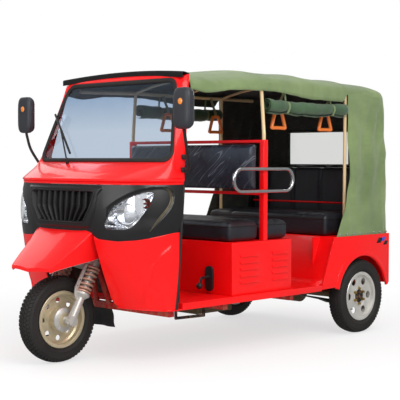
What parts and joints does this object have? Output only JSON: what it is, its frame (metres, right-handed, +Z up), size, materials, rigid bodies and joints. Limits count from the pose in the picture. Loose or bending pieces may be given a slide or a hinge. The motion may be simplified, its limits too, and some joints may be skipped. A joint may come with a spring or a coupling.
{
  "type": "auto rickshaw",
  "caption": "Open-sided passenger auto rickshaw with a red cab, black front mask, seat box, rear bench and green canvas canopy on a tube frame; it steers and rolls.",
  "frame": {"origin": "on the ground, midway along the length and width", "axes": "+X forward, +Y to the vehicle's left, +Z up"},
  "size_m": [2.782, 1.588, 1.793],
  "materials": {
    "red_paint": "gloss",
    "frame_red": "semi-gloss",
    "black_paint": "satin",
    "mask_black": "satin",
    "rubber": "matte",
    "tyre": "matte",
    "clear_lens": "clear",
    "screen_glass": "clear",
    "clear_vinyl": "clear",
    "reflector": "polished",
    "mirror": "polished",
    "chrome": "polished",
    "vinyl_black": "semi-gloss",
    "canvas_green": "woven",
    "vinyl_green": "coated",
    "cream_paint": "gloss",
    "orange_plastic": "gloss",
    "cast_alloy": "cast",
    "rim_silver": "metallic",
    "dark_steel": "oiled",
    "engine_metal": "cast",
    "red_lens": "gloss"
  },
  "bodies": {
    "chassis": {"chassis_frame": "frame_red", "floor_pan": "red_paint", "front_bulkhead": "black_paint", "front_mudflap": "rubber", "flank_panels": "red_paint", "front_fascia": "mask_black", "grille": "mask_black", "headlamp_housings": "reflector", "headlamp_lenses": "clear_lens", "front_beak": "red_paint", "cab_shell": "red_paint", "roof_visor": "black_paint", "windscreen_seal": "rubber", "windscreen": "screen_glass", "wiper": "black_paint", "mirrors": "black_paint", "mirror_glasses": "mirror", "dashboard": "black_paint", "seat_box": "red_paint", "gear_lever": "black_paint", "driver_seat": "vinyl_black", "bench_seat": "vinyl_black", "partition_frame": "red_paint", "partition_pad": "vinyl_black", "grab_rails": "chrome", "rear_wings": "red_paint", "rear_tub": "red_paint", "tail_lamps": "red_lens", "rear_seat": "vinyl_black", "rear_backrest": "vinyl_black", "canopy_frame": "cream_paint", "canopy_roof": "canvas_green", "canopy_back": "canvas_green", "canopy_quarters": "canvas_green", "rear_window": "clear_vinyl", "curtain_rolls": "vinyl_green", "hand_straps": "orange_plastic", "engine": "engine_metal", "rear_axle": "dark_steel", "leaf_springs": "dark_steel", "step_rods": "black_paint"},
    "steering": {"fork": "cast_alloy", "fork_springs": "black_paint", "handlebar": "black_paint"},
    "front_wheel": {"front_tyre": "tyre", "front_rim": "rim_silver"},
    "rear_wheel_left": {"rear_left_tyre": "tyre", "rear_left_rim": "rim_silver"},
    "rear_wheel_right": {"rear_right_tyre": "tyre", "rear_right_rim": "rim_silver"}
  },
  "joints": [
    {"name": "steering_turn", "type": "hinge", "parent": "chassis", "child": "steering", "pos_m": [1.10151, 0, 0.24055], "axis": [-0.4848, 0, 0.8746], "range_deg": [-38, 38]},
    {"name": "front_wheel_spin", "type": "hinge", "parent": "steering", "child": "front_wheel", "pos_m": [1.133, 0, 0.258], "axis": [0, 1, 0], "continuous": true},
    {"name": "rear_left_spin", "type": "hinge", "parent": "chassis", "child": "rear_wheel_left", "pos_m": [-1.057, 0.588, 0.258], "axis": [0, 1, 0], "continuous": true},
    {"name": "rear_right_spin", "type": "hinge", "parent": "chassis", "child": "rear_wheel_right", "pos_m": [-1.057, -0.588, 0.258], "axis": [0, 1, 0], "continuous": true}
  ]
}
